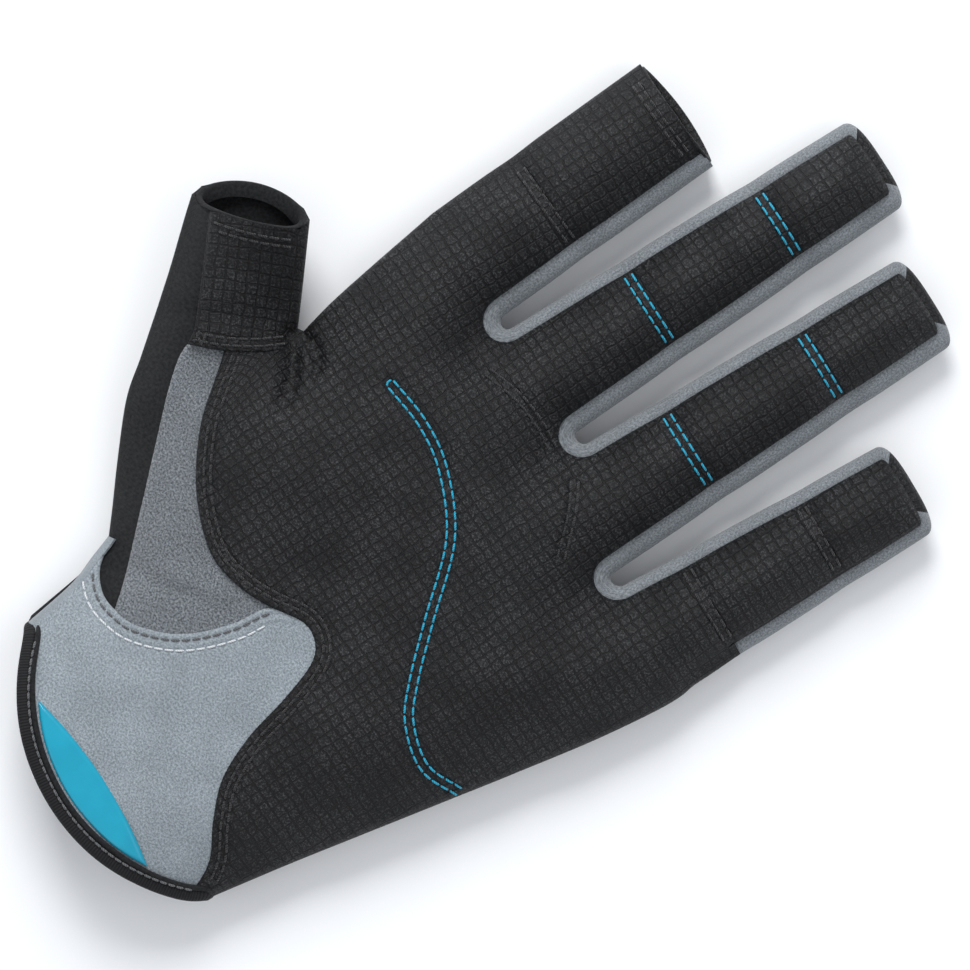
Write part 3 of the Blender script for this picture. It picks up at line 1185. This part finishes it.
def swept(name, path, inward, profile, finish, step, *nodes):
    """A closed profile (distance inward, height outward) carried round a closed path."""
    both = np.hstack([path, inward])
    both = resample(closed(both), SWEEP_STEP)[:-1]
    for _ in range(SWEEP_SMOOTHING):
        both = 0.25 * np.roll(both, 1, 0) + 0.5 * both + 0.25 * np.roll(both, -1, 0)
    line, d = both[:, :3], both[:, 3:]
    t = unit(np.roll(line, -1, 0) - np.roll(line, 1, 0))
    d = unit(d - t * np.sum(t * d, 1, keepdims=True))
    n = np.cross(t, d)
    run = run_of(closed(line))
    q = np.asarray(profile, float)
    rings = line[:, None] + q[None, :, :1] * d[:, None] + q[None, :, 1:] * n[:, None]
    soup = Soup()
    soup.tube(rings, np.stack(np.broadcast_arrays(run[:, None], run_of(closed(q))[None]), 2), True)
    place(soup.build(name, finish), step, *nodes)


cuff_arc = arc(CUFF_MID, CUFF_R, CUFF_FROM, CUFF_TO, 60)
cuff_top = np.column_stack([cuff_arc, PALM(cuff_arc) + 0.55])
right_wall = wall_column("ulnar", HAND, "plain", False)
left_wall = wall_column("wrist_side", HAND, "plain", True)[::-1]
back_line = resample([(49.5, -119), (-16, -119)], 2.0)
back_low = np.column_stack([back_line, BACK(back_line)])
cuff_path = np.vstack([cuff_top, right_wall[3:-1], back_low, left_wall[1:-3]])
inward = unit(CUFF_MID - cuff_arc)
cuff_in = np.vstack([np.column_stack([inward, (PALM(cuff_arc + 3 * inward) - PALM(cuff_arc)) / 3]),
                     np.tile((0, 1.0, 0), (len(cuff_path) - len(cuff_arc), 1))])
BAND_PROFILE = [(2.75, 0.1), (2.7, 0.65), (2.2, 0.92), (1.3, 1.0), (0.5, 0.9), (0.0, 0.5), (-0.2, -0.1),
                (-0.1, -0.8), (0.4, -1.3), (1.5, -1.5), (2.8, -1.5), (2.9, -0.95), (1.2, -0.8), (1.0, -0.1)]
bead = np.linspace(0, 2 * math.pi, 10, endpoint=False)
BEAD_PROFILE = [(3.35 + 0.62 * math.cos(a), 0.35 + 0.55 * math.sin(a)) for a in bead]
swept("cuff_binding", cuff_path, cuff_in, BAND_PROFILE, BIND, HAND, "wrist_binding")
swept("cuff_bead", cuff_path, cuff_in, BEAD_PROFILE, KNIT, HAND)

LIP = [(3.0, -0.75), (0.35, -0.7), (0.3, 0.02), (0.0, 0.1), (-0.3, -0.12), (-0.38, -0.7), (-0.15, -1.2),
       (0.5, -1.35), (3.0, -1.3)]


def mouth_path(palm_line, lift, left, back_line, right):
    palm = np.column_stack([palm_line, PALM(palm_line) + lift])
    back = np.column_stack([back_line, BACK(back_line)])
    return np.vstack([palm, left[3:-1], back, right[::-1][1:-3]])


index_right = wall_column("index_right", ("index", 1), "strip", True)
index_left = wall_column("index_left", ("index", 1), "plain", False)
index_palm = bowed(stretch("index_right", "edge")[-1], stretch("index_left", "edge")[0], INDEX_BOW[0])
index_back = bowed(index_right[-1, :2], index_left[-1, :2], INDEX_BOW[1])[::-1]
path = mouth_path(index_palm, PALM_LIFT - 0.05, index_left, index_back, index_right)
swept("index_hem", path, np.tile((*-INDEX.along, 0), (len(path), 1)), LIP, GRID, ("index", 1), "index_hem")
thumb_right = wall_column("thumb_right", THUMB_TIP, "plain", True)
thumb_left = wall_column("thumb_left", THUMB_TIP, "plain", False)
over = thumb_uv(THUMB_MOUTH)[0] > -20.5
path = mouth_path(THUMB_MOUTH, np.where(over, PALM_LIFT, KNIT_LIFT), thumb_left,
                  bowed(thumb_right[-1, :2], thumb_left[-1, :2], THUMB_BOW[1])[::-1], thumb_right)
swept("thumb_hem", path, np.tile((*-THUMB_ALONG, 0), (len(path), 1)), LIP, KNIT, THUMB_TIP, "thumb_hem")


# ---- Sewing ----

def threads(name, rows, surface, finish, step, *nodes, length=STITCH, radius=THREAD_R):
    """Rows of small arched stitches laid on a surface."""
    soup = Soup()
    around = np.linspace(0, 2 * math.pi, 6, endpoint=False)
    for row in rows:
        row = resample(row, 0.4)
        run = run_of(row)
        count = max(1, int(run[-1] // length))
        for k in range(count):
            at = (k + np.array([0.07, 0.2, 0.5, 0.8, 0.93])) * run[-1] / count
            plan = np.stack([np.interp(at, run, row[:, i]) for i in (0, 1)], 1)
            up = surface.normal(plan)
            raise_by = np.array([-0.22, 0.12, 0.24, 0.12, -0.22])[:, None] * radius / THREAD_R
            line = np.column_stack([plan, surface(plan)]) + up * raise_by
            along = unit(np.gradient(line, axis=0))
            side = unit(np.cross(along, up))
            above = np.cross(side, along)
            thick = radius * np.array([0.55, 1, 1, 1, 0.55])[:, None, None]
            rings = line[:, None] + thick * (np.cos(around)[None, :, None] * side[:, None]
                                             + np.sin(around)[None, :, None] * above[:, None])
            uv = np.stack(np.broadcast_arrays(at[:, None], np.arange(7)[None] * radius), 2)
            soup.tube(rings, uv, False)
    return place(soup.build(name, finish), step, *nodes)


def trimmed(line, start, end):
    """The line without a length off each end."""
    run = run_of(line)
    return line[(run >= start) & (run <= run[-1] - end)]


on_hand = [trimmed(line[fold_side(line) < FOLD_CUT], 0, 4) for line in SEAM_ROWS]
on_wing = [trimmed(line[fold_side(line) >= FOLD_CUT], 1, 0) for line in SEAM_ROWS]
thumb_rows, index_rows = [[shifted(mouth, d)[1:-1] for d in (2.2, 3.6)] for mouth in (THUMB_MOUTH, index_palm)]
thumb_rows = [line[thumb_uv(line)[0] > -19.6] for line in thumb_rows]
threads("stitch_crease", [TEAL_ROW], PALM_SURFACE, TEAL_THREAD, HAND, "palm_stitching")
for name, rows, surface, finish, step in (
        ("knuckles", PALM_ROWS, PALM_SURFACE, BLACK_THREAD, HAND),
        ("palm_seam", on_hand, PALM_SURFACE, BLACK_THREAD, HAND),
        ("palm_wing", on_wing, PALM_SURFACE, BLACK_THREAD, THUMB_ROOT),
        ("heel_inner", [trimmed(HEEL_ROWS[0], 5, 4)], HEEL_SURFACE, GREY_THREAD, HAND),
        ("heel_outer", [trimmed(HEEL_ROWS[1], 6, 6.5)], HEEL_SURFACE, WHITE_THREAD, HAND),
        ("thumb_root", [trimmed(line, 1, 1) for line in THUMB_ROWS], THUMB_SURFACE, BLACK_THREAD, THUMB_ROOT),
        ("thumb_mouth", thumb_rows, THUMB_SURFACE, BLACK_THREAD, THUMB_TIP),
        ("index_mouth", index_rows, PALM_SURFACE, BLACK_THREAD, ("index", 1))):
    threads(f"stitch_{name}", rows, surface, finish, step)
for (name, k), rows in HINGE_ROWS.items():
    threads(f"stitch_{name}_{k}", rows, PALM_SURFACE, TEAL_THREAD if name in ("middle", "ring") else BLACK_THREAD,
            (name, k))


class CuffTop:
    """The top of the cuff's binding, for its row of stitches."""

    def __call__(self, p):
        return PALM(p) + 1.45

    def normal(self, p):
        return np.tile((0, 0, 1.0), (len(p), 1))


threads("stitch_cuff", [arc(CUFF_MID, CUFF_R - 2.55, -136, -47, 120)], CuffTop(), GREY_THREAD, HAND,
        length=1.7)


# ---- Patch, strap and tapes ----

PATCH_GAP = 4.3         # from the cuff's edge in to the patch
PATCH_ENDS = [(-2.6, -122.6), (38.6, -122.6)]
PATCH_R, PATCH_MID = 88.0, (17.0, -207.7)       # the patch's upper curve


def crescent():
    """The patch's outline: the cuff's own curve below, a flatter one above."""
    def between(middle, radius, ends, count):
        start, end = [math.degrees(math.atan2(*(np.array(q) - middle)[::-1])) for q in ends]
        return arc(np.array(middle), radius, start, end, count)

    bottom = between(CUFF_MID, CUFF_R - PATCH_GAP, PATCH_ENDS, 30)
    return chain(bottom, between(PATCH_MID, PATCH_R, (bottom[-1], bottom[0]), 34))


patch_loop = crescent()
patch = Surface(PALM, 1, lambda p: 0.95 + 0.55 * smooth((p[:, 0] - 24) / 8), [closed(patch_loop)])
place(panel("patch", patch_loop, patch, TEAL, step=1.2), HAND, "wrist_patch")


def rounded_box(low, high, radius):
    corners = [((high[0] - radius, low[1] + radius), -90), ((high[0] - radius, high[1] - radius), 0),
               ((low[0] + radius, high[1] - radius), 90), ((low[0] + radius, low[1] + radius), 180)]
    return resample(np.vstack([arc(np.array(c), radius, a, a + 90, 8) for c, a in corners]), 1.2)


def slanted(loop):
    """The strap's sewn end cut along the cuff's outline, so that the glove hides it."""
    near = np.clip(1 - (loop[:, 0] - STRAP_FOLD) / 5, 0, 1)
    return loop + np.column_stack([0.115 * (STRAP_TOP - loop[:, 1]) * near, 0 * near])


def flat_piece(name, node, finish, sign, radius, step, inset=0.0, shape=lambda loop: loop):
    low, high = [np.array(q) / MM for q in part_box(node)]
    loop = shape(rounded_box(low[:2] + (inset, 0), high[:2], radius))
    thick = high[2] - low[2]
    outer = high[2] if sign > 0 else low[2]
    surface = Surface(lambda p: outer + 0.03 * wave(p, 4.0, 0, 0.0) - sign * 0.05, sign, 0.0,
                      [closed(loop)] if thick > 1 else ())
    return place(panel(name, loop, surface, finish, step=1.4, cloth=thick - 0.1), step, node)


flat_piece("strap", "wrist_strap", CUFF, -1, 1.5, STRAP, inset=-0.35, shape=slanted)
root = Surface(lambda p: 1.4 + 0.21 * (p[:, 0] + 20.1), -1, 0.0)
root_loop = slanted(rounded_box((STRAP_FOLD, -115.8), (-14.0, -100.2), 0.7))
place(panel("strap_root", root_loop, root, CUFF, step=1.4), HAND)
flat_piece("strap_hooks", "hook_tape", HOOK, 1, 1.2, STRAP)
flat_piece("strap_tab", "pull_tab", RUBBER, -1, 2.6, STRAP)
flat_piece("loop_field", "loop_tape", HOOK, -1, 1.2, HAND)
hook_low, hook_high = [np.array(q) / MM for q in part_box("hook_tape")]
hook_top = Surface(lambda p: np.full(len(p), hook_high[2] - 0.35), 1, 0.0)
border = rounded_box(hook_low[:2] + 1.0, hook_high[:2] - 1.0, 0.8)
threads("stitch_hooks", [closed(border)], hook_top, GREY_THREAD, STRAP, radius=0.16)


# ---- Floor, light and camera ----

def floor_finish():
    f = Finish("floor", 0.9)
    return f.finish(f.mix(f.noise(0.02), (0.80, 0.81, 0.82), (0.83, 0.84, 0.85)), f.noise(0.5), 0.01)


bpy.ops.mesh.primitive_plane_add(size=4.0, location=(0, 0, 0))
floor = bpy.context.object
floor.name = "floor"
floor.data.materials.append(floor_finish())
for name, spot, size, power in (("key", (-0.75, 0.35, 0.75), 0.5, 11.0), ("fill", (0.7, 0.5, 1.1), 1.0, 2.5),
                                ("low", (0.2, -0.9, 0.7), 0.8, 1.5)):
    data = bpy.data.lights.new(name, "AREA")
    data.size, data.energy = size, power
    lamp = bpy.data.objects.new(name, data)
    lamp.location = spot
    lamp.rotation_euler = (Vector((0.01, -0.02, 0)) - Vector(spot)).to_track_quat("-Z", "Y").to_euler()
    bpy.context.scene.collection.objects.link(lamp)
world = bpy.data.worlds.new("studio")
bpy.context.scene.world = world
world.use_nodes = True
world.node_tree.nodes["Background"].inputs[0].default_value = (0.93, 0.95, 1.0, 1)
world.node_tree.nodes["Background"].inputs[1].default_value = 0.7
bpy.context.scene.view_settings.view_transform = "Standard"
camera = bpy.data.objects.new("camera", bpy.data.cameras.new("camera"))
camera.data.lens, camera.data.sensor_width = 177.1, 36
camera.location = (0.0114, -0.0209, 1.0)
camera.rotation_euler = (0, 0, math.radians(56.35))
bpy.context.scene.collection.objects.link(camera)
bpy.context.scene.camera = camera
